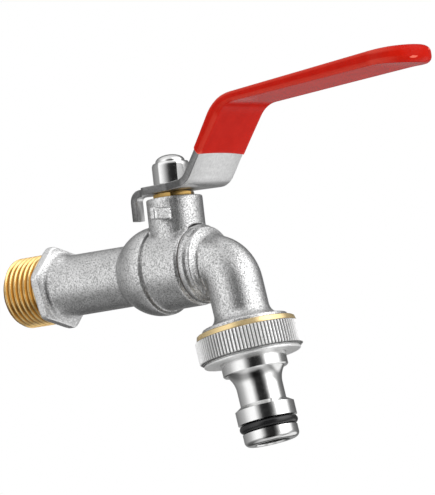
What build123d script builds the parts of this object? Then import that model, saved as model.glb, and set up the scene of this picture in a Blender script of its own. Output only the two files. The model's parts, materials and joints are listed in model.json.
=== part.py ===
from build123d import *
import math
import os

# Lever ball tap (hose bib), millimetres.
# Every sub-part is drawn about the ball's centre: X runs along the inlet, away from the wall, and Z runs up
# the stem. Before export all are shifted so that the origin is the inlet thread's shoulder, on its axis.

# inlet: G1/2 male thread, hex flange and barrel
SHOULDER_X = -47.7
INLET_THREAD_R = 10.478
INLET_THREAD_LENGTH = 13.2
INLET_BORE_R = 6.5
THREAD_PITCH = 1.814
THREAD_DEPTH = 1.162
THREAD_LEAD_IN = 0.6
THREAD_RIDGES = 7
HEX_AF = 22.0
HEX_THICK = 3.1
HEX_CORNER_ANGLE = 15.0
BARREL_R_AT_HEX = 9.0
BARREL_R_AT_DOME = 8.8
BARREL_FILLET = 2.0

# valve chamber
DOME_X = -7.6
DOME_R = 13.0
SEAM_X = -5.6
CHAMBER_R = 11.75
LIP_X = 7.0
LIP_R = 11.6
LIP_CHAMFER = 0.8
BALL_R = 6.25
WATERWAY_R = 4.0
SEAT_FRONT_X = 3.5
SEAT_BACK_X = 5.9
SEAT_OUTER_R = 7.2
SEAT_INNER_R = 4.3
BALL_CLEARANCE = 0.04
CAVITY_R = 7.6
SPIGOT_X = 4.6
SPIGOT_R = 9.5

# stem and neck
NECK_R = 8.15
NECK_TOP = 20.3
STEM_R = 3.5
STEM_BORE_R = 3.6
STEM_SHOULDER_R = 4.4
STEM_SHOULDER_BOTTOM = 7.3
STEM_SHOULDER_TOP = 8.2
THRUST_BORE_R = 4.6
THRUST_TOP = 9.3
DRIVE_SLOT_WIDTH = 3.0
DRIVE_SLOT_FLOOR = 4.5
SLOT_CLEARANCE = 0.1
TANG_LENGTH = 6.4
O_RING_Z = 11.6
O_RING_SECTION_R = 0.52
PACKING_FLOOR = 13.5
PACKING_BORE_R = 5.0
PACKING_RING = 1.2
FOLLOWER_THICK = 1.0
GLAND_AF = 11.0
GLAND_TOP = 21.7
STEM_FLATS = 5.4
STEM_THREAD_R = 3.0
STEM_TOP = 28.7

# lever
PLATE_Z = 21.9
PLATE_THICK = 2.2
EAR_X = -13.9
EAR_HALF_WIDTH = 1.6
EAR_BOTTOM = 15.2
EAR_ROOT_X = -10.6
HUB_START_X = -6.4
HUB_END_X = 3.0
HUB_HALF_WIDTH = 6.8
GRIP_START_X = 10.8
GRIP_HALF_WIDTH = 10.2
RISE_X = 12.15
GRIP_X, GRIP_Z = 27.6, 44.1
DROOP_X, DROOP_Z = 83.0, 47.1
LEVER_END_X, LEVER_END_Z = 90.4, 46.6
SLEEVE_HALF_WIDTH = 11.0
SLEEVE_END_X = 92.0

# cap nut on the lever
CAP_AF = 10.0
CAP_HEX_TOP = 30.0
CAP_CHAMFER = 0.9
CAP_TOP = 32.8
CAP_DOME_BASE_R = 4.1
CAP_ANGLE = 28.5

# lever stop on the neck
STOP_WIDTH = 2.2
STOP_REACH = 14.3
STOP_BOTTOM = 13.6
STOP_TOP = 17.1
STOP_GAP = 0.05

# spout
FLANGE_BACK_X = 7.4
FLANGE_FRONT_X = 9.7
FLANGE_R = 11.4
FLANGE_ROOM = 0.3
COLLAR_R = 10.65
COLLAR_X = 10.8
PIPE_R = 8.0
PIPE_BORE_R = 5.0
PIPE_STEP = 0.02
BEND_R = 8.2
BEND_CORNER_X = 17.4
OUTLET_TILT = 8.7
OUTLET_X, OUTLET_Z = 20.6, -20.8

# outlet stations are measured along the outlet axis, from the top of the union nut's knurl
FLARE_START = -6.5
FLARE_R = 11.0
RELIEF_TOP = -2.8
RELIEF_R = 12.4
OUTLET_THREAD_R = 13.22
OUTLET_THREAD_TOP = -1.2
OUTLET_FACE = 3.1

# union nut
NUT_R = 15.05
NUT_TOP = -1.5
KNURL_LENGTH = 6.9
KNURL_TEETH = 90
KNURL_DEPTH = 0.42
NUT_BORE_R = 13.28
NUT_BOTTOM = 8.0
NUT_LIP = 6.25
BEAD_R = 14.0

# hose tail
TAIL_RING_R = 9.4
TAIL_CLEARANCE = 0.08
TAIL_FLANGE_R = 12.4
TAIL_FLANGE_TOP = 4.65
TAIL_FLANGE_BOTTOM = 6.2
TAIL_RING_END = 11.7
TAIL_TAPER_R = 8.3
TAIL_NECK_R = 6.6
TAIL_NECK_END = 20.8
TAIL_COLLAR_R = 8.5
TAIL_COLLAR_START = 22.0
TAIL_COLLAR_END = 25.9
TAIL_GROOVE_END = 28.5
TAIL_GROOVE_R = 6.0
TAIL_NOSE_R = 7.9
TAIL_END = 32.3
TAIL_BORE_R = 4.75
TAIL_O_RING_R = 1.2

ON_FLOOR = (Align.CENTER, Align.CENTER, Align.MIN)
ALONG_X = Rot(0, 90, 0)
ALONG_OUTLET = Pos(OUTLET_X, 0, OUTLET_Z) * Rot(0, 180 - OUTLET_TILT, 0)
TO_ORIGIN = Pos(-SHOULDER_X, 0, 0)


def turned(outline):
    """A solid of revolution about Z from (height, radius) points, closed along the axis."""
    points = [(radius, 0, height) for height, radius in outline]
    first = (0, 0, outline[0][0])
    last = (0, 0, outline[-1][0])
    face = make_face(Polyline(first, *points, last, close=True))
    return revolve(face, Axis.Z)


def rod(radius, start, end):
    return Pos(0, 0, (start + end) / 2) * Cylinder(radius, end - start)


def tube(outer, inner, start, end):
    return rod(outer, start, end) - rod(inner, start - 1, end + 1)


def hexagon(across_flats, start, end, angle=0.0):
    corner_r = across_flats / math.sqrt(3)
    return Pos(0, 0, start) * extrude(RegularPolygon(corner_r, 6, rotation=angle), end - start)


def o_ring(ring_r, section_r, height):
    return Pos(0, 0, height) * Torus(ring_r, section_r)


def inlet_thread():
    """Parallel ridges at the G1/2 pitch, crests at the major radius. The last one meets the shoulder."""
    flat = THREAD_PITCH / 6
    flank = THREAD_PITCH / 3
    root = INLET_THREAD_R - THREAD_DEPTH
    tip = SHOULDER_X - INLET_THREAD_LENGTH
    outline = [(tip, root - THREAD_LEAD_IN), (tip + THREAD_LEAD_IN, root)]
    for n in reversed(range(THREAD_RIDGES)):
        crest_end = SHOULDER_X - n * THREAD_PITCH
        outline.append((crest_end - flat - flank, root))
        outline.append((crest_end - flat, INLET_THREAD_R))
        outline.append((crest_end, INLET_THREAD_R))
        outline.append((crest_end + flank, root))
    return turned(outline)


def inlet_end():
    """Hex flange, with the barrel that leaves it through a fillet."""
    start = SHOULDER_X
    end = start + HEX_THICK
    chamfered = turned([
        (start, HEX_AF / 2 + 0.2),
        (start + 0.5, HEX_AF / 2 + 1.4),
        (end - 0.3, HEX_AF / 2 + 1.4),
        (end, HEX_AF / 2 + 1.0),
    ])
    flange = hexagon(HEX_AF, start, end, HEX_CORNER_ANGLE) & chamfered
    barrel = turned([(start, BARREL_R_AT_HEX), (end, BARREL_R_AT_HEX), (DOME_X, BARREL_R_AT_DOME)])
    joined = flange + barrel
    root = [e for e in joined.edges().filter_by(GeomType.CIRCLE)
            if abs(e.radius - BARREL_R_AT_HEX) < 0.01 and abs(e.center().Z - end) < 0.01]
    return fillet(root, BARREL_FILLET)


def dome():
    ball_shape = Pos(0, 0, DOME_X) * Sphere(DOME_R)
    kept = rod(DOME_R + 1, DOME_X - DOME_R - 1, SEAM_X)
    return ball_shape & kept


def chamber():
    return turned([
        (DOME_X, CHAMBER_R),
        (SEAM_X, CHAMBER_R),
        (LIP_X - LIP_CHAMFER, LIP_R),
        (LIP_X, LIP_R - LIP_CHAMFER),
    ])


def lever_stop():
    """A block on the neck's -Y side. Its inner edge meets the lever's ear at the end of its turn."""
    low_x = EAR_HALF_WIDTH + STOP_GAP
    height = STOP_TOP - STOP_BOTTOM
    block = Box(STOP_WIDTH, STOP_REACH - NECK_R / 2, height, align=(Align.MIN, Align.MIN, Align.MIN))
    block = fillet(block.edges().filter_by(Axis.Z).sort_by(Axis.Y)[:2], 0.6)
    return Pos(low_x, -STOP_REACH, STOP_BOTTOM) * block


def valve_body():
    along_x = inlet_thread() + inlet_end() + dome() + chamber()
    casting = ALONG_X * along_x
    neck = rod(NECK_R, 0, NECK_TOP)
    neck = chamfer(neck.edges().sort_by(Axis.Z)[-1], 0.3)
    casting += neck
    casting += lever_stop()
    hollow = rod(INLET_BORE_R, SHOULDER_X - INLET_THREAD_LENGTH - 1, 0)
    hollow += rod(SEAT_OUTER_R, -SEAT_BACK_X, 0)
    hollow += rod(CAVITY_R, -SEAT_FRONT_X, SPIGOT_X + 0.5)
    hollow += rod(SPIGOT_R, SPIGOT_X, LIP_X + 1)
    # the face for the spout's flange also cuts the foot of the neck
    hollow += rod(FLANGE_R + FLANGE_ROOM, LIP_X, FLANGE_FRONT_X)
    casting -= ALONG_X * hollow
    casting -= rod(THRUST_BORE_R, 0, THRUST_TOP)
    casting -= rod(STEM_BORE_R, 0, NECK_TOP)
    casting -= rod(PACKING_BORE_R, PACKING_FLOOR, NECK_TOP + 1)
    return casting


def ball():
    body = Sphere(BALL_R)
    body -= Rot(0, 90, 0) * Cylinder(WATERWAY_R, 4 * BALL_R)
    slot = Box(DRIVE_SLOT_WIDTH, 4 * BALL_R, BALL_R, align=ON_FLOOR)
    return body - Pos(0, 0, DRIVE_SLOT_FLOOR) * slot


def seat(side):
    """A ring with a spherical face towards the ball; side is -1 at the inlet and 1 at the spout."""
    ring = tube(SEAT_OUTER_R - 0.05, SEAT_INNER_R, SEAT_FRONT_X, SEAT_BACK_X)
    ring -= Sphere(BALL_R + BALL_CLEARANCE)
    placed = ALONG_X * ring
    return placed if side > 0 else mirror(placed, Plane.YZ)


def stem():
    thread_start = PLATE_Z + PLATE_THICK
    groove_depth = O_RING_SECTION_R * 2 - 0.04
    body = turned([
        (STEM_SHOULDER_BOTTOM, STEM_SHOULDER_R),
        (STEM_SHOULDER_TOP, STEM_SHOULDER_R),
        (STEM_SHOULDER_TOP, STEM_R),
        (O_RING_Z - 0.6, STEM_R),
        (O_RING_Z - 0.6, STEM_R - groove_depth),
        (O_RING_Z + 0.6, STEM_R - groove_depth),
        (O_RING_Z + 0.6, STEM_R),
        (thread_start, STEM_R),
        (thread_start, STEM_THREAD_R),
        (STEM_TOP - 0.5, STEM_THREAD_R),
        (STEM_TOP, STEM_THREAD_R - 0.5),
    ])
    tang_bottom = DRIVE_SLOT_FLOOR + SLOT_CLEARANCE
    tang_height = STEM_SHOULDER_BOTTOM - tang_bottom
    tang = Box(DRIVE_SLOT_WIDTH - SLOT_CLEARANCE, TANG_LENGTH, tang_height, align=ON_FLOOR)
    # two flats carry the lever's turn from the gland nut up to the thread
    flats_low = GLAND_TOP - 0.3
    between_flats = Box(4 * STEM_R, STEM_FLATS, thread_start - flats_low, align=ON_FLOOR)
    flatted = rod(STEM_R + 1, flats_low, thread_start) - Pos(0, 0, flats_low) * between_flats
    return body - flatted + Pos(0, 0, tang_bottom) * tang


def thrust_washer():
    return tube(THRUST_BORE_R - 0.1, STEM_R + 0.06, STEM_SHOULDER_TOP + 0.1, THRUST_TOP)


def stem_o_ring():
    return o_ring(STEM_R - O_RING_SECTION_R + 0.06, O_RING_SECTION_R, O_RING_Z)


def stem_packing():
    rings = []
    for n in range(2):
        low = PACKING_FLOOR + n * PACKING_RING
        rings.append(tube(PACKING_BORE_R - 0.02, STEM_R + 0.06, low, low + PACKING_RING - 0.02))
    return Compound(children=rings)


def follower_bottom():
    return PACKING_FLOOR + 2 * PACKING_RING


def packing_follower():
    low = follower_bottom()
    return tube(PACKING_BORE_R - 0.05, STEM_R + 0.06, low, low + FOLLOWER_THICK)


def gland_nut():
    shank = rod(PACKING_BORE_R - 0.02, follower_bottom() + FOLLOWER_THICK, NECK_TOP)
    corner_r = GLAND_AF / math.sqrt(3)
    rounded = turned([
        (NECK_TOP, corner_r),
        (GLAND_TOP - 0.3, corner_r),
        (GLAND_TOP, GLAND_AF / 2),
    ])
    head = hexagon(GLAND_AF, NECK_TOP, GLAND_TOP) & rounded
    return shank + head - rod(STEM_R + 0.06, 0, GLAND_TOP + 1)


def lever_centre_line():
    middle = PLATE_Z + PLATE_THICK / 2
    corners = [
        (EAR_X, 0, EAR_BOTTOM),
        (EAR_X, 0, middle),
        (RISE_X, 0, middle),
        (GRIP_X, 0, GRIP_Z),
        (DROOP_X, 0, DROOP_Z),
        (LEVER_END_X + 1, 0, LEVER_END_Z),
    ]
    return FilletPolyline(*corners, radius=[2.4, 5.0, 9.0, 30.0])


def plan_outline(grip_half_width, end_x):
    """The lever seen from above, as a prism: ear, hub, a slow widening and a round end."""
    end_centre = end_x - grip_half_width
    half = [
        (EAR_X - 4, EAR_HALF_WIDTH),
        (EAR_ROOT_X, EAR_HALF_WIDTH),
        (HUB_START_X, HUB_HALF_WIDTH),
        (HUB_END_X, HUB_HALF_WIDTH),
        (GRIP_START_X, grip_half_width),
        (end_centre, grip_half_width),
    ]
    upper = Polyline(*half)
    round_end = ThreePointArc(half[-1], (end_x, 0), (end_centre, -grip_half_width))
    lower = Polyline(*[(x, -y) for x, y in reversed(half)])
    back = Line((half[0][0], -half[0][1]), half[0])
    face = make_face([upper, round_end, lower, back])
    shoulders = [v for v in face.vertices() if EAR_X < v.X < GRIP_START_X + 1]
    face = fillet(shoulders, 2.0)
    return Pos(0, 0, EAR_BOTTOM - 5) * extrude(face, 50)


def lever_plate():
    path = lever_centre_line()
    start = Plane(origin=path @ 0, x_dir=(0, 1, 0), z_dir=path % 0)
    strip = sweep(start * Rectangle(3 * GRIP_HALF_WIDTH, PLATE_THICK), path=path)
    plate = strip & plan_outline(GRIP_HALF_WIDTH, LEVER_END_X)
    hole = rod(STEM_R + 0.02, PLATE_Z - 1, PLATE_Z + PLATE_THICK + 1)
    hole &= Box(20, STEM_FLATS + 0.04, 80)
    return plate - hole


def sleeve_side():
    """The sleeve's side outline: thin where it starts on the rise, thickest at the tip."""
    corners = [
        (17.3, 32.5, 0),
        (26.25, 45.45, 11.0),
        (DROOP_X + 3, DROOP_Z + 2.45, 30.0),
        (SLEEVE_END_X, LEVER_END_Z + 3.2, 2.0),
        (SLEEVE_END_X, LEVER_END_Z - 2.1, 2.0),
        (DROOP_X - 1, DROOP_Z - 1.95, 30.0),
        (29.2, 42.87, 7.0),
        (18.9, 29.7, 0),
    ]
    points = [(x, 0, z) for x, z, bend in corners]
    face = make_face(Polyline(*points, close=True))
    for x, z, bend in corners:
        if bend:
            vertex = face.vertices().sort_by_distance((x, 0, z))[0]
            face = fillet(vertex, bend)
    return face


def lever_sleeve(plate):
    side = sleeve_side()
    slab = extrude(side, SLEEVE_HALF_WIDTH, dir=(0, 1, 0), both=True)
    sleeve = slab & plan_outline(SLEEVE_HALF_WIDTH, SLEEVE_END_X)
    return sleeve - plate


def cap_nut():
    low = PLATE_Z + PLATE_THICK
    corner_r = CAP_AF / math.sqrt(3)
    rounded = turned([
        (low, CAP_AF / 2 + 0.2),
        (low + 0.4, corner_r),
        (CAP_HEX_TOP - CAP_CHAMFER, corner_r),
        (CAP_HEX_TOP, CAP_DOME_BASE_R + 0.2),
    ])
    nut = hexagon(CAP_AF, low, CAP_HEX_TOP, CAP_ANGLE) & rounded
    rise = CAP_TOP - CAP_HEX_TOP
    sphere_r = (CAP_DOME_BASE_R ** 2 + rise ** 2) / (2 * rise)
    cap = Pos(0, 0, CAP_TOP - sphere_r) * Sphere(sphere_r)
    cap &= rod(CAP_AF, CAP_HEX_TOP - 0.5, CAP_TOP + 1)
    return nut + cap - rod(STEM_THREAD_R, 0, STEM_TOP + 0.3)


def spout_gasket():
    return ALONG_X * tube(FLANGE_R - 0.5, SPIGOT_R, LIP_X, FLANGE_BACK_X)


def pipe_path(start_x, end):
    """The waterway's middle line: along the inlet axis, round the bend, then along the outlet axis."""
    tilt = math.radians(OUTLET_TILT)
    last = (OUTLET_X + end * math.sin(tilt), 0, OUTLET_Z - end * math.cos(tilt))
    return FilletPolyline((start_x, 0, 0), (BEND_CORNER_X, 0, 0), last, radius=BEND_R)


def pipe(radius, start_x, end):
    path = pipe_path(start_x, end)
    section = Plane(origin=path @ 0, z_dir=path % 0) * Circle(radius)
    return sweep(section, path=path)


def spout_base():
    """Spigot, flange and collar, with a hollow curve down to the pipe."""
    points = [
        (0, SPIGOT_X),
        (SPIGOT_R, SPIGOT_X),
        (SPIGOT_R, FLANGE_BACK_X),
        (FLANGE_R - 0.3, FLANGE_BACK_X),
        (FLANGE_R, FLANGE_BACK_X + 0.3),
        (FLANGE_R, FLANGE_FRONT_X - 0.5),
        (FLANGE_R - 0.5, FLANGE_FRONT_X),
        (COLLAR_R, FLANGE_FRONT_X),
        (COLLAR_R, COLLAR_X),
        (COLLAR_R - 0.4, COLLAR_X + 0.3),
    ]
    hollow_end = (PIPE_R - 0.7, COLLAR_X + 2.9)
    outline = Polyline(*[(r, 0, x) for r, x in points])
    middle = ((COLLAR_R - 0.4 + hollow_end[0]) / 2 - 0.45, 0, COLLAR_X + 1.15)
    hollow = ThreePointArc((points[-1][0], 0, points[-1][1]), middle, (hollow_end[0], 0, hollow_end[1]))
    rest = Polyline((hollow_end[0], 0, hollow_end[1]), (0, 0, hollow_end[1]), (0, 0, SPIGOT_X))
    return revolve(make_face([outline, hollow, rest]), Axis.Z)


def spout_outlet():
    """Flare, thread relief and the G3/4 end, along the outlet axis."""
    flare_bend = ((PIPE_R + FLARE_R) / 2 - 0.75, 0, (FLARE_START + RELIEF_TOP) / 2 + 0.55)
    flare_foot = (PIPE_R - PIPE_STEP, 0, FLARE_START)
    leg = Polyline((0, 0, FLARE_START), flare_foot)
    flare = ThreePointArc(flare_foot, flare_bend, (FLARE_R, 0, RELIEF_TOP))
    end = Polyline(
        (FLARE_R, 0, RELIEF_TOP),
        (RELIEF_R - 0.3, 0, RELIEF_TOP),
        (RELIEF_R, 0, RELIEF_TOP + 0.3),
        (RELIEF_R, 0, OUTLET_THREAD_TOP),
        (OUTLET_THREAD_R, 0, OUTLET_THREAD_TOP + 0.6),
        (OUTLET_THREAD_R, 0, OUTLET_FACE - 0.8),
        (OUTLET_THREAD_R - 0.8, 0, OUTLET_FACE),
        (0, 0, OUTLET_FACE),
        (0, 0, FLARE_START),
    )
    return revolve(make_face([leg, flare, end]), Axis.Z)


def spout():
    outside = pipe(PIPE_R, FLANGE_BACK_X, RELIEF_TOP)
    solid = ALONG_X * spout_base() + outside + ALONG_OUTLET * spout_outlet()
    seat_recess = rod(SEAT_OUTER_R, SPIGOT_X - 1, SEAT_BACK_X)
    waterway = pipe(PIPE_BORE_R, SPIGOT_X - 1, OUTLET_FACE + 1)
    return solid - ALONG_X * seat_recess - waterway


def knurled_ring():
    """Straight knurl: a ridged prism, bevelled at both ends by a turned blank."""
    step = 2 * math.pi / KNURL_TEETH
    corners = []
    for n in range(KNURL_TEETH):
        angle = n * step
        for share, radius in ((0.0, NUT_R - KNURL_DEPTH), (0.4, NUT_R), (0.6, NUT_R)):
            turn = angle + share * step
            corners.append((radius * math.cos(turn), radius * math.sin(turn)))
    prism = extrude(make_face(Polyline(*corners, close=True)), KNURL_LENGTH)
    bevel = KNURL_DEPTH + 0.1
    blank = turned([
        (0, NUT_R - bevel),
        (bevel, NUT_R + 0.05),
        (KNURL_LENGTH - bevel, NUT_R + 0.05),
        (KNURL_LENGTH, NUT_R - bevel),
    ])
    return prism & blank


def union_nut():
    inner_edge = BEAD_R - 0.5
    plain = turned([
        (NUT_TOP, NUT_BORE_R + 0.6),
        (NUT_TOP + 0.2, NUT_BORE_R + 0.9),
        (-0.2, NUT_R - 0.6),
        (0.2, NUT_R - 0.6),
        (KNURL_LENGTH - 0.2, NUT_R - 0.9),
        (KNURL_LENGTH, inner_edge),
        (KNURL_LENGTH + 0.2, inner_edge),
        (KNURL_LENGTH + 0.45, BEAD_R),
        (NUT_BOTTOM - 0.25, BEAD_R),
        (NUT_BOTTOM, BEAD_R - 0.3),
    ])
    solid = plain + knurled_ring()
    solid -= rod(NUT_BORE_R, NUT_TOP - 1, NUT_LIP)
    solid -= rod(TAIL_RING_R + TAIL_CLEARANCE, 0, NUT_BOTTOM + 1)
    return ALONG_OUTLET * solid


def tail_gasket():
    return ALONG_OUTLET * tube(TAIL_FLANGE_R - 0.2, 7.0, OUTLET_FACE + 0.05, TAIL_FLANGE_TOP)


def hose_tail():
    upper = Polyline(
        (TAIL_BORE_R, 0, TAIL_FLANGE_TOP),
        (TAIL_FLANGE_R, 0, TAIL_FLANGE_TOP),
        (TAIL_FLANGE_R, 0, TAIL_FLANGE_BOTTOM),
        (TAIL_RING_R, 0, TAIL_FLANGE_BOTTOM),
        (TAIL_RING_R, 0, TAIL_RING_END - 0.3),
        (TAIL_RING_R - 0.3, 0, TAIL_RING_END),
        (TAIL_TAPER_R, 0, TAIL_RING_END),
    )
    taper_end = (TAIL_NECK_R, 0, TAIL_RING_END + 4.6)
    taper = ThreePointArc(
        (TAIL_TAPER_R, 0, TAIL_RING_END),
        (TAIL_NECK_R + 0.45, 0, TAIL_RING_END + 2.1),
        taper_end,
    )
    collar = Polyline(
        taper_end,
        (TAIL_NECK_R, 0, TAIL_NECK_END),
        (TAIL_COLLAR_R, 0, TAIL_COLLAR_START),
        (TAIL_COLLAR_R, 0, TAIL_COLLAR_END),
        (TAIL_GROOVE_R, 0, TAIL_COLLAR_END),
        (TAIL_GROOVE_R, 0, TAIL_GROOVE_END),
        (TAIL_NOSE_R - 0.2, 0, TAIL_GROOVE_END),
        (TAIL_NOSE_R, 0, TAIL_GROOVE_END + 0.2),
        (TAIL_NOSE_R, 0, TAIL_END - 1.6),
    )
    nose = ThreePointArc(
        (TAIL_NOSE_R, 0, TAIL_END - 1.6),
        (TAIL_NOSE_R - 0.45, 0, TAIL_END - 0.45),
        (TAIL_NOSE_R - 1.5, 0, TAIL_END),
    )
    mouth = Polyline(
        (TAIL_NOSE_R - 1.5, 0, TAIL_END),
        (TAIL_BORE_R + 0.4, 0, TAIL_END),
        (TAIL_BORE_R, 0, TAIL_END - 0.4),
        (TAIL_BORE_R, 0, TAIL_FLANGE_TOP),
    )
    return ALONG_OUTLET * revolve(make_face([upper, taper, collar, nose, mouth]), Axis.Z)


def tail_o_ring():
    height = (TAIL_COLLAR_END + TAIL_GROOVE_END) / 2
    return ALONG_OUTLET * o_ring(TAIL_GROOVE_R + TAIL_O_RING_R, TAIL_O_RING_R, height)


def build_all():
    plate = lever_plate()
    return {
        "valve_body": valve_body(),
        "spout": spout(),
        "spout_gasket": spout_gasket(),
        "ball": ball(),
        "inlet_seat": seat(-1),
        "outlet_seat": seat(1),
        "stem": stem(),
        "thrust_washer": thrust_washer(),
        "stem_o_ring": stem_o_ring(),
        "stem_packing": stem_packing(),
        "packing_follower": packing_follower(),
        "gland_nut": gland_nut(),
        "lever_plate": plate,
        "lever_sleeve": lever_sleeve(plate),
        "cap_nut": cap_nut(),
        "union_nut": union_nut(),
        "tail_gasket": tail_gasket(),
        "hose_tail": hose_tail(),
        "tail_o_ring": tail_o_ring(),
    }


os.makedirs("parts", exist_ok=True)
for name, shape in build_all().items():
    export_step(TO_ORIGIN * shape, f"parts/{name}.step")
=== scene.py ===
import json
import math

import bmesh
import bpy
from mathutils import Matrix, Vector


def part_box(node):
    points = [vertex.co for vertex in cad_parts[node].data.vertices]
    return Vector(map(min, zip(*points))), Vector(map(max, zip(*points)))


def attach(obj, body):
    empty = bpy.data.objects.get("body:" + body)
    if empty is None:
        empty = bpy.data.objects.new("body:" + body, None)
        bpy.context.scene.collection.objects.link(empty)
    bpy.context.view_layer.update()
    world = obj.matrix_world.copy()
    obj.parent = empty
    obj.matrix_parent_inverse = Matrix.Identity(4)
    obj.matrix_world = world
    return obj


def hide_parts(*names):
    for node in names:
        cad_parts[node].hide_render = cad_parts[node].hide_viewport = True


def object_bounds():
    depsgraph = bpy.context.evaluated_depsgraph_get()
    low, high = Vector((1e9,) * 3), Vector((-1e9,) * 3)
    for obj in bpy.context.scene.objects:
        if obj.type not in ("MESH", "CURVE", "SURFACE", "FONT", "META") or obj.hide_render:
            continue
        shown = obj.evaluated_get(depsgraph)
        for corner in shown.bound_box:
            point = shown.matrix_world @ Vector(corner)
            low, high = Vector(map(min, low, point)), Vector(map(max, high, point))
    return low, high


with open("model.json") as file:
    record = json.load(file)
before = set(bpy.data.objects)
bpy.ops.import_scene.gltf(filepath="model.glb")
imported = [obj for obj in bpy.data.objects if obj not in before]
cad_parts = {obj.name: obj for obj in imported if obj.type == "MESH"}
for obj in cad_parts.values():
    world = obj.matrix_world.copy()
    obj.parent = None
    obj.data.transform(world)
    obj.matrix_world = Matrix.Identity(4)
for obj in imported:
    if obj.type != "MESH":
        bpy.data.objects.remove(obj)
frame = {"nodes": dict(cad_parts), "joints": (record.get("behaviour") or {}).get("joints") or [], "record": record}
cad_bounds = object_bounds()

# Everything is in metres, in the row's frame: X along the inlet away from the wall, Z up the stem.
MM = 0.001

JOINTS = {joint["name"]: joint for joint in frame["joints"]}
BALL_CENTRE = Vector(JOINTS["handle_turn"]["pos_m"])
OUTLET_TOP = Vector(JOINTS["union_nut_spin"]["pos_m"])
OUTLET_DOWN = Vector(JOINTS["union_nut_spin"]["axis"]).normalized()

# camera: where it stands from its target, its roll, the target's offset from the ball, the width seen there
CAMERA_AZIMUTH = math.radians(38)
CAMERA_ELEVATION = math.radians(-4)
CAMERA_ROLL = math.radians(6.5)
CAMERA_DISTANCE = 1.0
TARGET_RIGHT = 10.17 * MM
TARGET_UP = 5.79 * MM
FRAME_WIDTH = 124.64 * MM

# the floor lies well below the part and reaches far, so that it blocks no low view and its edge isn't seen
FLOOR_DROP = 450 * MM
FLOOR_REACH = 9.0

# the studio's brightness around the camera, by degrees to its right
BRIGHTEST = 2.0
AROUND_CAMERA = [
    (-180, 0.15), (-150, 0.22), (-115, 0.38), (-94, 0.55), (-80, 0.85), (-64, 1.15), (-43, 1.15), (-28, 0.40),
    (-18, 0.05), (-8, 0.02), (14, 0.02), (24, 0.10), (34, 0.50), (43, 1.4), (62, 1.6), (76, 1.05), (88, 0.60),
    (104, 0.36), (122, 0.20), (150, 0.12), (180, 0.15),
]
# how much of it is left by height, from straight down at 0 to straight up at 1
BY_HEIGHT = [(0.0, 0.25), (0.20, 0.35), (0.38, 1.0), (0.78, 1.0), (0.92, 0.3), (1.0, 0.3)]
# round cards in the studio: degrees to the camera's right, degrees up, full and fading radius, brightness
CARDS = [
    (180, -6, 12, 24, 0.15),
    (124, -38, 16, 32, 0.85),
    (0, -90, 20, 42, 0.5),
    (75, 38, 20, 42, 1.1),
    (0, 90, 30, 60, 0.75),
]

# lamps: name, metres to the camera's right, up and back from the ball, size in metres, watts
LAMPS = [
    ("key_lamp", -0.45, 0.45, 0.6, 0.5, 1.6),
    ("fill_lamp", 0.75, 0.0, 0.35, 0.5, 1.6),
]

# castings: the dome's seam, the hex flange's back, the face that the thread starts from, and the remeshing
SEAM_X = 42.1 * MM
HEX_BACK_X = 3.3 * MM
CASTING_START_X = 0.03 * MM
CAST_VOXEL = 0.3 * MM
WELD = 0.0005 * MM

# pressed and turned pieces: how wide their broken edges are
LEVER_EDGE = 0.22 * MM
GLAND_EDGE = 0.15 * MM

# union nut's knurl: the radius at the bottom of its grooves, how far it runs down the outlet, and where the
# plating starts below its top
KNURL_GROOVE_R = 14.62 * MM
KNURL_LENGTH = 6.9 * MM
PLATED_FROM = 0.12 * MM

# inlet thread, G1/2
THREAD_R = 10.45 * MM
THREAD_ROOT_R = 9.32 * MM
THREAD_PITCH = 1.814 * MM
THREAD_BORE_R = 6.5 * MM
THREAD_END_X = 0.05 * MM
THREAD_CREST_SHARE = 0.16
THREAD_ROUNDING = 0.35
THREAD_TIP_R = THREAD_ROOT_R - 0.35 * MM
THREAD_TIP_SLOPE = 1.1
THREAD_WELD = 0.001 * MM
THREAD_ROWS = 14
THREAD_COLUMNS = 120

# cap nut on the lever; the small step is at the dome's foot
CAP_FLAT_R = 5.0 * MM
CAP_ANGLE = math.radians(28.5)
CAP_BOW = 0.5
CAP_BOW_R = CAP_FLAT_R * 1.06
CAP_FOOT = 0.3 * MM
CAP_FOOT_SHARE = 0.96
CAP_DOME_R = 4.3 * MM
CAP_DOME_RISE = 2.1 * MM
CAP_DOME_STEPS = 14
CAP_STEP = 0.1 * MM
CAP_STEP_OUT = 0.12 * MM
CAP_STEP_IN = 0.05 * MM
CAP_CHAMFER = 1.5 * MM
CAP_CHAMFER_SHARE = 0.12
CAP_COLUMNS = 144

# lever sleeve: its upper and lower corners in mm from the stem's axis and the inlet's, from the cut end
# to the tip, with the two bends in each
SLEEVE_UPPER = [(17.3, 32.5), (26.25, 45.45), (86.0, 49.5), (91.95, 49.7)]
SLEEVE_LOWER = [(18.9, 29.7), (29.2, 42.87), (82.0, 45.15), (91.95, 44.5)]
SLEEVE_UPPER_BENDS = (12 * MM, 40 * MM)
SLEEVE_LOWER_BENDS = (8 * MM, 40 * MM)
SLEEVE_STEP = 0.4 * MM
SLEEVE_HALF_WIDTH = 10.95 * MM
SLEEVE_RIM = 1.4 * MM
SLEEVE_TIP_RIM = 2.2 * MM
SLEEVE_RIM_LIMIT = 0.8
SLEEVE_WELD = 0.005 * MM
SLEEVE_CUT_RIM = 0.45 * MM
SLEEVE_CUT_BOW = 0.7 * MM
SLEEVE_CUT_BOW_LENGTH = 6 * MM
SLEEVE_CUT_STATIONS = [0.08 * MM, 0.2 * MM, 0.4 * MM]
SLEEVE_SHAFT_STEPS = 110
SLEEVE_TIP_STEPS = 24
SLEEVE_COLUMNS = 36


# ---------------------------------------------------------------- camera, light and floor

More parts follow.
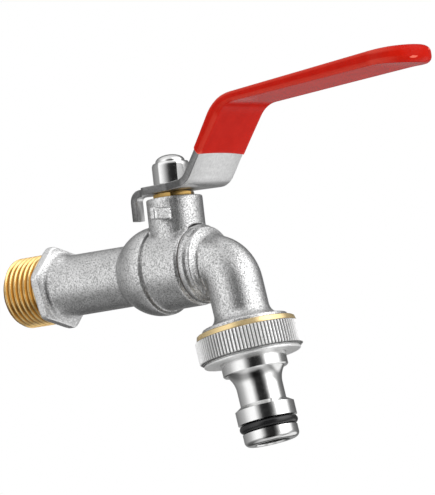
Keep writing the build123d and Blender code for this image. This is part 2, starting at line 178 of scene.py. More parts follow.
def camera_axes():
    """The camera's right, up and back directions, with its roll."""
    back = Vector((
        math.sin(CAMERA_AZIMUTH) * math.cos(CAMERA_ELEVATION),
        -math.cos(CAMERA_AZIMUTH) * math.cos(CAMERA_ELEVATION),
        math.sin(CAMERA_ELEVATION),
    ))
    right = Vector((math.cos(CAMERA_AZIMUTH), math.sin(CAMERA_AZIMUTH), 0))
    up = back.cross(right)
    rolled_right = right * math.cos(CAMERA_ROLL) - up * math.sin(CAMERA_ROLL)
    rolled_up = right * math.sin(CAMERA_ROLL) + up * math.cos(CAMERA_ROLL)
    return rolled_right, rolled_up, back


def add_camera():
    right, up, back = camera_axes()
    target = BALL_CENTRE + right * TARGET_RIGHT + up * TARGET_UP
    data = bpy.data.cameras.new("photo_camera")
    data.sensor_fit = "HORIZONTAL"
    data.lens = data.sensor_width * CAMERA_DISTANCE / FRAME_WIDTH
    data.clip_start = 0.01
    data.clip_end = 50
    camera = bpy.data.objects.new("photo_camera", data)
    camera.matrix_world = Matrix((
        (right.x, up.x, back.x, 0),
        (right.y, up.y, back.y, 0),
        (right.z, up.z, back.z, 0),
        (0, 0, 0, 1),
    ))
    camera.matrix_world.translation = target + back * CAMERA_DISTANCE
    bpy.context.scene.collection.objects.link(camera)
    bpy.context.scene.camera = camera


def ramp_stops(ramp, stops, interpolation="EASE"):
    """Sets a colour ramp's stops from (position, grey or colour) pairs."""
    ramp.interpolation = interpolation
    while len(ramp.elements) > 1:
        ramp.elements.remove(ramp.elements[-1])
    for n, (position, value) in enumerate(stops):
        element = ramp.elements[0] if n == 0 else ramp.elements.new(position)
        element.position = position
        colour = (value, value, value) if isinstance(value, (int, float)) else value
        element.color = (*colour, 1.0)


def level_directions():
    """Level directions from the part: towards the camera, and to the camera's right."""
    towards = Vector((math.sin(CAMERA_AZIMUTH), -math.cos(CAMERA_AZIMUTH), 0))
    sideways = Vector((math.cos(CAMERA_AZIMUTH), math.sin(CAMERA_AZIMUTH), 0))
    return towards, sideways


def studio_walls(tree, along):
    """Brightness around the camera, which fades above and below."""
    node = tree.nodes.new
    link = tree.links.new
    towards, sideways = level_directions()
    angle = node("ShaderNodeMath")
    angle.operation = "ARCTAN2"
    link(along(sideways), angle.inputs[0])
    link(along(towards), angle.inputs[1])
    turn = node("ShaderNodeMapRange")
    turn.inputs["From Min"].default_value = -math.pi
    turn.inputs["From Max"].default_value = math.pi
    link(angle.outputs[0], turn.inputs["Value"])
    around = node("ShaderNodeValToRGB")
    link(turn.outputs[0], around.inputs["Fac"])
    ramp_stops(around.color_ramp, [((a + 180) / 360, v / BRIGHTEST) for a, v in AROUND_CAMERA], "LINEAR")
    height = node("ShaderNodeMapRange")
    height.inputs["From Min"].default_value = -1
    height.inputs["From Max"].default_value = 1
    link(along(Vector((0, 0, 1))), height.inputs["Value"])
    reach = node("ShaderNodeValToRGB")
    link(height.outputs[0], reach.inputs["Fac"])
    ramp_stops(reach.color_ramp, BY_HEIGHT)
    walls = node("ShaderNodeMixRGB")
    walls.blend_type = "MULTIPLY"
    walls.inputs["Fac"].default_value = 1.0
    link(around.outputs["Color"], walls.inputs["Color1"])
    link(reach.outputs["Color"], walls.inputs["Color2"])
    return walls.outputs["Color"]


def with_card(tree, along, light, card):
    """The light with one round card added to it."""
    right, up, full, fading, brightness = card
    towards, sideways = level_directions()
    turn_right, turn_up = math.radians(right), math.radians(up)
    level = towards * math.cos(turn_right) + sideways * math.sin(turn_right)
    centre = level * math.cos(turn_up) + Vector((0, 0, math.sin(turn_up)))
    disc = tree.nodes.new("ShaderNodeMapRange")
    disc.interpolation_type = "SMOOTHSTEP"
    disc.inputs["From Min"].default_value = math.cos(math.radians(fading))
    disc.inputs["From Max"].default_value = math.cos(math.radians(full))
    disc.inputs["To Max"].default_value = brightness / BRIGHTEST
    tree.links.new(along(centre), disc.inputs["Value"])
    lit = tree.nodes.new("ShaderNodeMixRGB")
    lit.blend_type = "ADD"
    lit.inputs["Fac"].default_value = 1.0
    tree.links.new(light, lit.inputs["Color1"])
    tree.links.new(disc.outputs[0], lit.inputs["Color2"])
    return lit.outputs["Color"]


def add_studio():
    """White behind the object, and soft light on both sides of a dark gap for the metals to reflect."""
    world = bpy.data.worlds.new("studio")
    bpy.context.scene.world = world
    world.use_nodes = True
    tree = world.node_tree
    tree.nodes.clear()
    node = tree.nodes.new
    link = tree.links.new
    coords = node("ShaderNodeTexCoord")

    def along(direction):
        product = node("ShaderNodeVectorMath")
        product.operation = "DOT_PRODUCT"
        link(coords.outputs["Generated"], product.inputs[0])
        product.inputs[1].default_value = direction
        return product.outputs["Value"]

    total = studio_walls(tree, along)
    for card in CARDS:
        total = with_card(tree, along, total, card)
    light = node("ShaderNodeBackground")
    light.inputs["Strength"].default_value = BRIGHTEST
    link(total, light.inputs["Color"])
    white = node("ShaderNodeBackground")
    white.inputs["Color"].default_value = (1, 1, 1, 1)
    path = node("ShaderNodeLightPath")
    choose = node("ShaderNodeMixShader")
    link(path.outputs["Is Camera Ray"], choose.inputs["Fac"])
    link(light.outputs[0], choose.inputs[1])
    link(white.outputs[0], choose.inputs[2])
    out = node("ShaderNodeOutputWorld")
    link(choose.outputs[0], out.inputs["Surface"])
    bpy.context.scene.view_settings.view_transform = "Standard"


def add_floor():
    low = Vector(cad_bounds[0])
    bottom = low.z - FLOOR_DROP
    corners = [(FLOOR_REACH * x, FLOOR_REACH * y, bottom) for x, y in ((-1, -1), (1, -1), (1, 1), (-1, 1))]
    mesh = bpy.data.meshes.new("studio_floor")
    mesh.from_pydata(corners, [], [(0, 1, 2, 3)])
    floor = bpy.data.objects.new("studio_floor", mesh)
    bpy.context.scene.collection.objects.link(floor)
    paint = Paint("pale_floor", (0.86, 0.86, 0.85), roughness=0.9)
    mesh.materials.append(paint.material)
    floor.visible_glossy = False


def add_lamp(name, right, up, back, size, watts):
    """A soft square lamp, so many metres from the ball in the camera's directions. Metals don't mirror it."""
    camera_right, camera_up, camera_back = camera_axes()
    data = bpy.data.lights.new(name, "AREA")
    data.size = size
    data.energy = watts
    lamp = bpy.data.objects.new(name, data)
    offset = camera_right * right + camera_up * up + camera_back * back
    lamp.matrix_world = offset.to_track_quat("Z", "Y").to_matrix().to_4x4()
    lamp.matrix_world.translation = BALL_CENTRE + offset
    lamp.visible_glossy = False
    bpy.context.scene.collection.objects.link(lamp)


# ---------------------------------------------------------------- materials

class Paint:
    """A Principled material, with short calls for the few node chains that the materials share."""

    def __init__(self, name, colour, metallic=0.0, roughness=0.5):
        self.material = bpy.data.materials.new(name)
        self.material.use_nodes = True
        self.tree = self.material.node_tree
        self.shader = self.tree.nodes["Principled BSDF"]
        self.set("Base Color", (*colour, 1.0))
        self.set("Metallic", metallic)
        self.set("Roughness", roughness)

    def set(self, socket, value):
        self.shader.inputs[socket].default_value = value

    def node(self, kind, **settings):
        made = self.tree.nodes.new(kind)
        for key, value in settings.items():
            setattr(made, key, value)
        return made

    def link(self, output, target):
        self.tree.links.new(output, target)

    def coordinates(self, stretch=(1, 1, 1), rotation=(0, 0, 0)):
        """Object coordinates in millimetres."""
        source = self.node("ShaderNodeTexCoord")
        mapping = self.node("ShaderNodeMapping")
        mapping.inputs["Scale"].default_value = [s / MM for s in stretch]
        mapping.inputs["Rotation"].default_value = rotation
        self.link(source.outputs["Object"], mapping.inputs["Vector"])
        return mapping.outputs["Vector"]

    def noise(self, coords, per_mm, detail=3.0, roughness=0.6):
        texture = self.node("ShaderNodeTexNoise")
        texture.inputs["Scale"].default_value = per_mm
        texture.inputs["Detail"].default_value = detail
        texture.inputs["Roughness"].default_value = roughness
        self.link(coords, texture.inputs["Vector"])
        return texture.outputs["Fac"]

    def ramp(self, value, stops, interpolation="LINEAR"):
        made = self.node("ShaderNodeValToRGB")
        ramp_stops(made.color_ramp, stops, interpolation)
        self.link(value, made.inputs["Fac"])
        return made.outputs["Color"]

    def mix(self, kind, amount, first, second):
        made = self.node("ShaderNodeMixRGB", blend_type=kind)
        for socket, value in (("Fac", amount), ("Color1", first), ("Color2", second)):
            if isinstance(value, bpy.types.NodeSocket):
                self.link(value, made.inputs[socket])
            elif socket == "Fac":
                made.inputs[socket].default_value = value
            else:
                made.inputs[socket].default_value = (*value, 1.0)
        return made.outputs["Color"]

    def math(self, operation, first, second=0.0):
        made = self.node("ShaderNodeMath", operation=operation)
        for index, value in enumerate((first, second)):
            if isinstance(value, bpy.types.NodeSocket):
                self.link(value, made.inputs[index])
            else:
                made.inputs[index].default_value = value
        return made.outputs[0]

    def vector(self, operation, first, second, output="Vector"):
        made = self.node("ShaderNodeVectorMath", operation=operation)
        self.link(first, made.inputs[0])
        made.inputs[1].default_value = second
        return made.outputs[output]

    def axis(self, vector, letter):
        split = self.node("ShaderNodeSeparateXYZ")
        self.link(vector, split.inputs[0])
        return split.outputs[letter]

    def pointiness(self):
        return self.node("ShaderNodeNewGeometry").outputs["Pointiness"]

    def bump(self, height, depth, strength=1.0, under=None):
        made = self.node("ShaderNodeBump")
        made.inputs["Distance"].default_value = depth
        made.inputs["Strength"].default_value = strength
        self.link(height, made.inputs["Height"])
        if under is not None:
            self.link(under, made.inputs["Normal"])
        return made.outputs["Normal"]

    def finish(self, colour=None, roughness=None, normal=None):
        for socket, value in (("Base Color", colour), ("Roughness", roughness), ("Normal", normal)):
            if value is not None:
                self.link(value, self.shader.inputs[socket])
        return self.material


def cast_nickel():
    """Sandblasted casting under thin nickel: grainy, brighter on the machined hex, with painted shade in its
    crevices and along the dome's seam step, and painted highlights on its sharp edges.
    """
    paint = Paint("cast_nickel", (0.80, 0.80, 0.79), metallic=1.0, roughness=0.45)
    coords = paint.coordinates()
    grain = paint.noise(coords, 2.3, detail=3.0, roughness=0.7)
    pits = paint.noise(coords, 5.5, detail=2.0)
    clouds = paint.noise(coords, 0.22, detail=2.0)
    tone = paint.ramp(grain, [(0.38, 0.40), (0.48, 0.78), (0.58, 1.0)])
    tone = paint.mix("MULTIPLY", 0.5, tone, paint.ramp(clouds, [(0.3, 0.8), (0.7, 1.0)]))
    # by how pointed the mesh is: painted shade in the crevices, and sharp edges made lighter, partly as rubbed by
    # handling and partly as a painted highlight
    edge = paint.ramp(paint.pointiness(), [(0.40, 0.40), (0.485, 0.90), (0.515, 1.0), (0.58, 1.3)])
    tone = paint.mix("MULTIPLY", 1.0, tone, edge)
    x = paint.axis(coords, "X")
    off_hex = paint.math("GREATER_THAN", x, HEX_BACK_X / MM)
    tone = paint.mix("MIX", off_hex, paint.mix("ADD", 1.0, tone, (0.25, 0.25, 0.25)), tone)
    # painted shade: a thin dark line along the step at the dome's seam
    seam = paint.math("ABSOLUTE", paint.math("SUBTRACT", x, SEAM_X / MM))
    tone = paint.mix("MULTIPLY", 1.0, tone, paint.ramp(seam, [(0.10, 0.35), (0.22, 1.0)]))
    rough = paint.ramp(grain, [(0.35, 0.44), (0.62, 0.24)])
    coarse = paint.bump(grain, 0.15 * MM, 0.75)
    normal = paint.bump(pits, 0.05 * MM, 0.5, under=coarse)
    return paint.finish(tone, rough, normal)


def bare_brass(name="bare_brass", groove_r=None, shade=(1.0, 1.0, 1.0)):
    """Turned brass. With groove_r, painted shade darkens the grooves round the inlet axis near that radius; shade
    darkens the whole colour as painted shade.
    """
    paint = Paint(name, (0.84, 0.57, 0.24), metallic=1.0, roughness=0.2)
    coords = paint.coordinates()
    stain = paint.noise(coords, 0.5, detail=3.0)
    tone = paint.ramp(stain, [(0.3, (0.78, 0.50, 0.18)), (0.7, (0.90, 0.64, 0.30))])
    if groove_r is not None:
        across = paint.vector("MULTIPLY", coords, (0, 1, 1))
        radius = paint.vector("DISTANCE", across, (0, 0, 0), "Value")
        depth = paint.math("SUBTRACT", radius, groove_r / MM)
        # painted shade, deepest at the thread's roots
        root_shade = paint.ramp(depth, [(0.0, (0.30, 0.24, 0.16)), (0.7, (1.0, 1.0, 1.0))])
        tone = paint.mix("MULTIPLY", 1.0, tone, root_shade)
    # shade darkens the whole colour: painted shade for brass that sits in other parts' shade
    tone = paint.mix("MULTIPLY", 1.0, tone, shade)
    fine = paint.noise(coords, 4.0, detail=2.0)
    rough = paint.ramp(fine, [(0.3, 0.16), (0.7, 0.27)])
    return paint.finish(tone, rough, paint.bump(fine, 0.01 * MM, 0.4))


def polished_plate():
    paint = Paint("polished_plate", (0.86, 0.86, 0.855), metallic=1.0, roughness=0.09)
    coords = paint.coordinates()
    smear = paint.noise(coords, 0.6, detail=4.0)
    fine = paint.noise(coords, 3.5, detail=3.0)
    rough = paint.ramp(smear, [(0.35, 0.09), (0.7, 0.22)])
    return paint.finish(None, rough, paint.bump(fine, 0.01 * MM, 0.35))


def bright_nickel():
    """The union nut: bright plate with painted shade in the knurl's grooves, and bare brass on its top chamfer."""
    paint = Paint("bright_nickel", (0.9, 0.9, 0.88), metallic=0.7, roughness=0.3)
    coords = paint.coordinates()
    fine = paint.noise(coords, 2.2, detail=4.0)
    tone = paint.ramp(fine, [(0.3, (0.82, 0.82, 0.81)), (0.6, (1.0, 1.0, 1.0))])
    rough = paint.ramp(fine, [(0.3, 0.55), (0.7, 0.35)])
    along = paint.vector("DOT_PRODUCT", coords, OUTLET_DOWN, "Value")
    knurl_start = OUTLET_TOP.dot(OUTLET_DOWN) / MM
    plated = paint.math("GREATER_THAN", along, knurl_start + PLATED_FROM / MM)
    out = paint.vector("CROSS_PRODUCT", coords, OUTLET_DOWN)
    off_axis = paint.vector("DISTANCE", out, OUTLET_TOP.cross(OUTLET_DOWN) / MM, "Value")
    height = paint.math("SUBTRACT", off_axis, KNURL_GROOVE_R / MM)
    # painted shade in the knurl's grooves, darker the deeper they go
    grooves = paint.ramp(height, [(0.05, 0.14), (0.28, 1.0)])
    on_knurl = paint.math("LESS_THAN", along, knurl_start + KNURL_LENGTH / MM)
    tone = paint.mix("MULTIPLY", on_knurl, tone, grooves)
    tone = paint.mix("MIX", plated, (0.86, 0.66, 0.34), tone)
    rough = paint.mix("MIX", plated, (0.16, 0.16, 0.16), rough)
    return paint.finish(tone, rough, paint.bump(fine, 0.03 * MM, 0.4))


def lever_steel():
    """Zinc-plated pressed steel, with the strip's rolling marks along the lever."""
    paint = Paint("lever_steel", (0.56, 0.57, 0.58), metallic=1.0, roughness=0.38)
    along = paint.noise(paint.coordinates((0.15, 2.2, 0.6)), 1.6, detail=4.0)
    mottle = paint.noise(paint.coordinates(), 1.3, detail=5.0, roughness=0.7)
    tone = paint.mix("MIX", 0.5, paint.ramp(along, [(0.3, 0.70), (0.7, 0.90)]),
                     paint.ramp(mottle, [(0.3, 0.62), (0.7, 0.92)]))
    # the sheared edges face sideways and are duller than the strip's faces
    sideways = paint.axis(paint.node("ShaderNodeTexCoord").outputs["Normal"], "Y")
    sheared = paint.ramp(paint.math("ABSOLUTE", sideways), [(0.55, 1.0), (0.9, 0.26)])
    grit = paint.ramp(paint.noise(paint.coordinates(), 4.5, detail=3.0), [(0.35, 0.75), (0.65, 1.5)])
    tone = paint.mix("MULTIPLY", 1.0, tone, paint.mix("MIX", sheared, grit, (1.0, 1.0, 1.0)))
    tone = paint.mix("MULTIPLY", 1.0, tone, sheared)
    rough = paint.ramp(mottle, [(0.3, 0.46), (0.7, 0.30)])
    normal = paint.bump(along, 0.02 * MM, 0.4)
    return paint.finish(tone, rough, paint.bump(mottle, 0.03 * MM, 0.3, under=normal))


def red_vinyl():
    """Dipped soft vinyl: deep red and glossy, with a faint ripple left by the dip."""
    paint = Paint("red_vinyl", (0.51, 0.012, 0.005), roughness=0.2)
    paint.set("Specular IOR Level", 0.05)
    coords = paint.coordinates()
    ripple = paint.noise(coords, 0.28, detail=2.0)
    fine = paint.noise(coords, 3.0, detail=2.0)
    tone = paint.ramp(ripple, [(0.3, (0.49, 0.009, 0.003)), (0.7, (0.55, 0.012, 0.005))])
    # painted highlight: the sharpest edges are paler, for the gloss along the arrises; the dip is also thinner
    # there
    painted_edge_highlight = paint.ramp(paint.pointiness(), [(0.515, 0.0), (0.545, 1.0)])
    tone = paint.mix("MIX", painted_edge_highlight, tone, (0.84, 0.16, 0.11))
    rough = paint.ramp(fine, [(0.3, 0.16), (0.7, 0.24)])
    normal = paint.bump(ripple, 0.08 * MM, 0.4)
    return paint.finish(tone, rough, paint.bump(fine, 0.008 * MM, 0.3, under=normal))


def black_rubber():
    paint = Paint("black_rubber", (0.012, 0.012, 0.013), roughness=0.2)
    fine = paint.noise(paint.coordinates(), 4.0, detail=3.0)
    rough = paint.ramp(fine, [(0.3, 0.13), (0.7, 0.24)])
    return paint.finish(None, rough, paint.bump(fine, 0.01 * MM, 0.4))


def ptfe():
    paint = Paint("ptfe", (0.86, 0.86, 0.83), roughness=0.45)
    paint.set("Subsurface Weight", 0.1)
    fine = paint.noise(paint.coordinates(), 1.5, detail=3.0)
    tone = paint.ramp(fine, [(0.3, (0.82, 0.82, 0.79)), (0.7, (0.90, 0.90, 0.88))])
    return paint.finish(tone, None, paint.bump(fine, 0.02 * MM, 0.3))


def fibre():
    paint = Paint("fibre", (0.07, 0.06, 0.06), roughness=0.85)
    strands = paint.noise(paint.coordinates((1, 1, 4)), 2.5, detail=5.0, roughness=0.75)
    tone = paint.ramp(strands, [(0.3, (0.04, 0.035, 0.035)), (0.7, (0.13, 0.11, 0.10))])
    return paint.finish(tone, None, paint.bump(strands, 0.05 * MM, 0.6))


# ---------------------------------------------------------------- meshes

def new_piece(name, mesh, body, replaced, material):
    """A visual piece that moves with a body and stands in for one CAD node."""
    piece = bpy.data.objects.new(name, mesh)
    bpy.context.scene.collection.objects.link(piece)
    mesh.materials.append(material)
    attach(piece, body)
    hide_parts(replaced)
    return piece


def shade_smooth(mesh):
    for polygon in mesh.polygons:
        polygon.use_smooth = True


def welded_copy(node):
    """A copy of a CAD node's mesh without its material, and a bmesh of it with doubled vertices joined."""
    source = frame["nodes"][node].data.copy()
    source.materials.clear()
    work = bmesh.new()
    work.from_mesh(source)
    bmesh.ops.remove_doubles(work, verts=work.verts, dist=WELD)
    return source, work


def helper_object(source, work):
    """A temporary object that holds the worked mesh while modifiers act on it."""
    bmesh.ops.recalc_face_normals(work, faces=work.faces)
    work.to_mesh(source)
    work.free()
    helper = bpy.data.objects.new("helper", source)
    bpy.context.scene.collection.objects.link(helper)
    return helper


def applied(helper):
    """The helper's mesh with its modifiers worked into it. The helper itself goes."""
    graph = bpy.context.evaluated_depsgraph_get()
    mesh = bpy.data.meshes.new_from_object(helper.evaluated_get(graph))
    bpy.data.objects.remove(helper)
    shade_smooth(mesh)
    return mesh


def finished_mesh(name, work, sharp):
    """A smooth mesh from a bmesh, with its edges sharp where they turn by more than that many degrees."""
    bmesh.ops.recalc_face_normals(work, faces=work.faces)
    mesh = bpy.data.meshes.new(name)
    work.to_mesh(mesh)
    work.free()
    shade_smooth(mesh)
    mesh.set_sharp_from_angle(angle=math.radians(sharp))
    return mesh


def cut_across(work, plane_x, facing, dist=WELD):
    """Cuts a mesh at a plane across X and drops the side that facing points to."""
    everything = work.verts[:] + work.edges[:] + work.faces[:]
    plane = {"plane_co": (plane_x, 0, 0), "plane_no": (facing, 0, 0)}
    bmesh.ops.bisect_plane(work, geom=everything, dist=dist, clear_outer=True, **plane)


def cast_mesh(node, smoothing, from_x=None):
    """A casting's mesh from its CAD solid: fused, with the small radii that casting leaves."""
    source, work = welded_copy(node)
    if from_x is not None:
        cut_across(work, from_x, -1)
        # a flat ring closes the cut, from the outer loop to the bore
        bmesh.ops.bridge_loops(work, edges=[edge for edge in work.edges if edge.is_boundary])
    bmesh.ops.triangulate(work, faces=work.faces)
    helper = helper_object(source, work)
    remesh = helper.modifiers.new("fuse", "REMESH")
    remesh.mode = "VOXEL"
    remesh.voxel_size = CAST_VOXEL
    soften = helper.modifiers.new("soften", "SMOOTH")
    soften.factor = 0.5
    soften.iterations = smoothing
    return applied(helper)


def bevelled_mesh(node, width, sharp=35):
    """A node's mesh with its sharp edges broken, as pressing or turning leaves them."""
    source, work = welded_copy(node)
    bmesh.ops.dissolve_limit(work, angle_limit=math.radians(1), verts=work.verts, edges=work.edges)
    helper = helper_object(source, work)
    bevel = helper.modifiers.new("break_edges", "BEVEL")
    bevel.width = width
    bevel.segments = 3
    bevel.limit_method = "ANGLE"
    bevel.angle_limit = math.radians(sharp)
    bevel.harden_normals = True
    mesh = applied(helper)
    mesh.set_sharp_from_angle(angle=math.radians(sharp))
    return mesh


def thread_radius(phase):
    """The 55-degree thread's radius over one pitch, with phase from 0 to 1 and the crest in the middle."""
    from_crest = abs(phase - 0.5) * 2
    share = min(max((from_crest - THREAD_CREST_SHARE) / (1 - 2 * THREAD_CREST_SHARE), 0), 1)
    eased = share * share * (3 - 2 * share) * THREAD_ROUNDING + share * (1 - THREAD_ROUNDING)
    return THREAD_R + (THREAD_ROOT_R - THREAD_R) * eased


def thread_skin(work, tip):
    """The helical skin: going round by one column moves it along, and the last column meets the next turn."""
    start = tip - THREAD_PITCH
    turns = math.ceil(-tip / THREAD_PITCH) + 2
    steps = THREAD_ROWS * turns
    grid = []
    for i in range(steps + 1):
        ring = []
        for j in range(THREAD_COLUMNS):
            around = j / THREAD_COLUMNS
            x = start + THREAD_PITCH * (i / THREAD_ROWS + around)
            tip_r = THREAD_TIP_R + max(x - tip, 0) * THREAD_TIP_SLOPE
            r = min(thread_radius((i % THREAD_ROWS) / THREAD_ROWS), tip_r)
            angle = 2 * math.pi * around
            ring.append(work.verts.new((x, r * math.cos(angle), r * math.sin(angle))))
        grid.append(ring)
    for i in range(steps):
        for j in range(THREAD_COLUMNS - 1):
            work.faces.new((grid[i][j], grid[i][j + 1], grid[i + 1][j + 1], grid[i + 1][j]))
        if i + 1 + THREAD_ROWS <= steps:
            next_turn = i + THREAD_ROWS
            work.faces.new((grid[i][-1], grid[next_turn][0], grid[next_turn + 1][0], grid[i + 1][-1]))


def thread_bore(work, ends):
    """The bore, and a flat ring at each end that joins it to the cut skin."""
    near = 0.01 * MM
    loops = [[e for e in work.edges if e.is_boundary and abs(e.verts[0].co.x - x) < near] for x in ends]
    bore = []
    for x in ends:
        ring = []
        for j in range(THREAD_COLUMNS):
            angle = 2 * math.pi * j / THREAD_COLUMNS
            ring.append(work.verts.new((x, THREAD_BORE_R * math.cos(angle), THREAD_BORE_R * math.sin(angle))))
        bore.append(ring)
    for j in range(THREAD_COLUMNS):
        after = (j + 1) % THREAD_COLUMNS
        work.faces.new((bore[0][j], bore[1][j], bore[1][after], bore[0][after]))
    for ring, loop in zip(bore, loops):
        edges = [work.edges.get((ring[j], ring[(j + 1) % THREAD_COLUMNS])) for j in range(THREAD_COLUMNS)]
        bmesh.ops.bridge_loops(work, edges=loop + edges)


def thread_mesh():
    """The inlet's helical thread with its chamfered tip, its end face and its bore."""
    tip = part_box("valve_body")[0].x
    work = bmesh.new()
    thread_skin(work, tip)
    cut_across(work, tip, -1, THREAD_WELD)
    cut_across(work, THREAD_END_X, 1, THREAD_WELD)
    thread_bore(work, (tip, THREAD_END_X))
    return finished_mesh("inlet_thread", work, sharp=50)


def hexagon_radius(angle):
    """The cap's hexagon, with slightly bowed flats, at an angle about the stem."""
    off_flat = (angle - CAP_ANGLE) % (math.pi / 3) - math.pi / 6
    return CAP_FLAT_R / math.cos(off_flat) * (1 - CAP_BOW) + CAP_BOW_R * CAP_BOW


def cap_rows(low_z, high_z):
    """The cap's rows from foot to dome as heights with a radius for any angle."""
    rim_z = high_z - CAP_DOME_RISE
    chamfer_z = rim_z - CAP_CHAMFER
    flats = [(low_z, CAP_FOOT_SHARE), (low_z + CAP_FOOT, 1.0), (chamfer_z, 1.0)]
    for n in range(1, 5):
        t = math.pi / 8 * n
        share = 1.0 - CAP_CHAMFER_SHARE * (1 - math.cos(t))
        flats.append((chamfer_z + 0.9 * CAP_CHAMFER * math.sin(t), share))
    dome_r = CAP_DOME_R - CAP_STEP_IN
    dome = [(rim_z - CAP_STEP, CAP_DOME_R + CAP_STEP_OUT), (rim_z, dome_r)]
    for n in range(1, CAP_DOME_STEPS + 1):
        angle = math.pi / 2 * n / CAP_DOME_STEPS
        dome.append((rim_z + CAP_DOME_RISE * math.sin(angle), max(dome_r * math.cos(angle), 0.01 * MM)))
    rows = [(z, lambda angle, share=share: hexagon_radius(angle) * share) for z, share in flats]
    return rows + [(z, lambda angle, r=r: r) for z, r in dome]


def cap_mesh():
    """The cap nut: six slightly bowed flats, a turned chamfer and a low dome."""
    low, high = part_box("cap_nut")
    work = bmesh.new()
    rings = []
    for z, radius_at in cap_rows(low.z, high.z):
        ring = []
        for j in range(CAP_COLUMNS):
            angle = 2 * math.pi * j / CAP_COLUMNS
            radius = radius_at(angle)
            x = BALL_CENTRE.x + radius * math.cos(angle)
            ring.append(work.verts.new((x, radius * math.sin(angle), z)))
        rings.append(ring)
    for lower, upper in zip(rings, rings[1:]):
        for j in range(CAP_COLUMNS):
            after = (j + 1) % CAP_COLUMNS
            work.faces.new((lower[j], lower[after], upper[after], upper[j]))
    work.faces.new(rings[-1])
    work.faces.new(list(reversed(rings[0])))
    return finished_mesh("domed_cap", work, sharp=28)


def rounded_line(corners, bends, step):
    """Points every step along a line with rounded corners. Each bend is the radius that its curve is near."""
    pieces = [corners[0]]
    for n in range(1, len(corners) - 1):
        into = (corners[n] - corners[n - 1]).normalized()
        out = (corners[n + 1] - corners[n]).normalized()
        half = into.angle(out) / 2
        cut = bends[n - 1] * math.tan(half)
        first = corners[n] - into * cut
        last = corners[n] + out * cut
        count = max(int(2 * half * bends[n - 1] / step), 6)
        for k in range(count + 1):
            t = k / count
            pieces.append(first * (1 - t) ** 2 + corners[n] * 2 * t * (1 - t) + last * t ** 2)
    pieces.append(corners[-1])
    points = [pieces[0]]
    for a, b in zip(pieces, pieces[1:]):
        count = max(round((b - a).length / step), 1)
        for k in range(1, count + 1):
            points.append(a.lerp(b, k / count))
    return points


def sleeve_line(corners, bends):
    """One of the sleeve's side lines in the XZ plane, from its cut end to its tip."""
    placed = [Vector((BALL_CENTRE.x + x * MM, 0, z * MM)) for x, z in corners]
    return rounded_line(placed, bends, SLEEVE_STEP)


def along_line(points, share):
    """The point at that share of a line's length."""
    lengths = [0.0]
    for a, b in zip(points, points[1:]):
        lengths.append(lengths[-1] + (b - a).length)
    wanted = share * lengths[-1]
    for n in range(1, len(points)):
        if lengths[n] >= wanted:
            span = lengths[n] - lengths[n - 1]
            return points[n - 1].lerp(points[n], (wanted - lengths[n - 1]) / span if span else 0)
    return points[-1]


def sleeve_stations(length):
    """Places along the sleeve: close together at the cut end and round the tip."""
    round_start = length - SLEEVE_HALF_WIDTH
    stations = [round_start * n / SLEEVE_SHAFT_STEPS for n in range(SLEEVE_SHAFT_STEPS)]
    stations[1:1] = SLEEVE_CUT_STATIONS
    for n in range(SLEEVE_TIP_STEPS + 1):
        stations.append(round_start + SLEEVE_HALF_WIDTH * math.sin(math.pi / 2 * n / SLEEVE_TIP_STEPS))
    return stations


def sleeve_rows(upper, lower, length, s):
    """The sleeve's upper and lower rows of points, across the lever, at one place along it."""
    past = max(s - (length - SLEEVE_HALF_WIDTH), 0)
    half = math.sqrt(max(SLEEVE_HALF_WIDTH ** 2 - past ** 2, 0))
    above = along_line(upper, s / length)
    below = along_line(lower, s / length)
    middle = (above + below) / 2
    normal = (above - below).normalized()
    forward = Vector((normal.z, 0, -normal.x))
    thick = (above - below).length / 2
    rim = SLEEVE_RIM + (SLEEVE_TIP_RIM - SLEEVE_RIM) * past / SLEEVE_HALF_WIDTH
    rim = min(rim, thick * SLEEVE_RIM_LIMIT)
    top_row, bottom_row = [], []
    for c in range(SLEEVE_COLUMNS + 1):
        y = half * math.sin(math.pi / 2 * (2 * c / SLEEVE_COLUMNS - 1))
        inside = SLEEVE_HALF_WIDTH - (math.hypot(past, y) if past > 0 else abs(y))
        inside = min(max(inside, 0), s + SLEEVE_CUT_RIM)
        drop = rim - math.sqrt(max(rim ** 2 - (rim - min(inside, rim)) ** 2, 0))
        bow = SLEEVE_CUT_BOW * (1 - (y / SLEEVE_HALF_WIDTH) ** 2) * max(1 - s / SLEEVE_CUT_BOW_LENGTH, 0)
        base = middle + Vector((0, y, 0)) + forward * bow
        top_row.append(base + normal * (thick - drop))
        bottom_row.append(base - normal * (thick - drop))
    return top_row, bottom_row


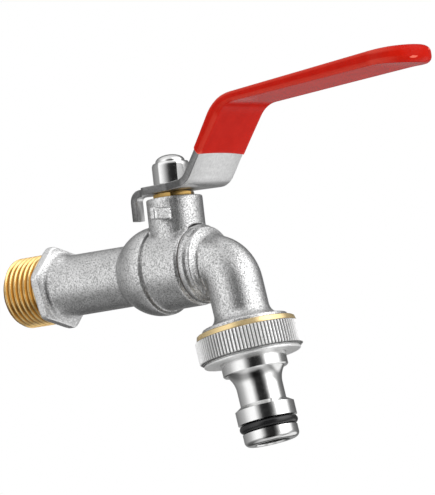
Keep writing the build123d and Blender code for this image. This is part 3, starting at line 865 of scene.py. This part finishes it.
def sleeve_mesh():
    """The dipped sleeve as one skin with rounded rims, a round tip and a slightly bowed cut end."""
    upper = sleeve_line(SLEEVE_UPPER, SLEEVE_UPPER_BENDS)
    lower = sleeve_line(SLEEVE_LOWER, SLEEVE_LOWER_BENDS)
    length = sum((b - a).length for a, b in zip(upper, upper[1:]))
    work = bmesh.new()
    top, bottom = [], []
    for s in sleeve_stations(length):
        top_row, bottom_row = sleeve_rows(upper, lower, length, s)
        top.append([work.verts.new(point) for point in top_row])
        bottom.append([work.verts.new(point) for point in bottom_row])
    for i in range(len(top) - 1):
        for c in range(SLEEVE_COLUMNS):
            work.faces.new((top[i][c], top[i + 1][c], top[i + 1][c + 1], top[i][c + 1]))
            work.faces.new((bottom[i][c], bottom[i][c + 1], bottom[i + 1][c + 1], bottom[i + 1][c]))
        for c in (0, SLEEVE_COLUMNS):
            work.faces.new((top[i][c], bottom[i][c], bottom[i + 1][c], top[i + 1][c]))
    for c in range(SLEEVE_COLUMNS):
        work.faces.new((top[0][c], top[0][c + 1], bottom[0][c + 1], bottom[0][c]))
        work.faces.new((top[-1][c], bottom[-1][c], bottom[-1][c + 1], top[-1][c + 1]))
    bmesh.ops.remove_doubles(work, verts=work.verts, dist=SLEEVE_WELD)
    return finished_mesh("grip_sleeve", work, sharp=55)


# ---------------------------------------------------------------- the part

def paint_nodes(paints):
    """Every CAD node that stays in view gets the material of its slot."""
    for part in frame["record"]["subparts"]:
        node = frame["nodes"][part["node"]]
        node.data.materials.clear()
        node.data.materials.append(paints[part["material_slot"]])


def build():
    paints = {
        "nickel_casting": cast_nickel(),
        "bright_nickel": bright_nickel(),
        "polished_plate": polished_plate(),
        "bare_brass": bare_brass(),
        "lever_steel": lever_steel(),
        "red_vinyl": red_vinyl(),
        "ptfe": ptfe(),
        "black_rubber": black_rubber(),
        "fibre": fibre(),
    }
    paint_nodes(paints)
    thread_brass = bare_brass("thread_brass", THREAD_ROOT_R)
    casting = cast_mesh("valve_body", smoothing=4, from_x=CASTING_START_X)
    new_piece("body_casting", casting, "valve", "valve_body", paints["nickel_casting"])
    new_piece("inlet_thread", thread_mesh(), "valve", "valve_body", thread_brass)
    spout = cast_mesh("spout", smoothing=8)
    new_piece("spout_casting", spout, "valve", "spout", paints["nickel_casting"])
    vinyl = paints["red_vinyl"]
    sleeve = new_piece("grip_sleeve", sleeve_mesh(), "handle", "lever_sleeve", vinyl)
    # the metals stay grey: they don't mirror the red sleeve
    sleeve.visible_glossy = False
    new_piece("domed_cap", cap_mesh(), "handle", "cap_nut", paints["polished_plate"])
    lever = bevelled_mesh("lever_plate", LEVER_EDGE)
    new_piece("pressed_lever", lever, "handle", "lever_plate", paints["lever_steel"])
    gland = bevelled_mesh("gland_nut", GLAND_EDGE)
    # painted shade: the gland's brass is darkened, as it sits in the shade under the lever
    brass_in_painted_shade = bare_brass("brass_in_painted_shade", shade=(0.55, 0.52, 0.42))
    new_piece("gland_head", gland, "valve", "gland_nut", brass_in_painted_shade)


add_camera()
add_studio()
add_floor()
for lamp in LAMPS:
    add_lamp(*lamp)
build()
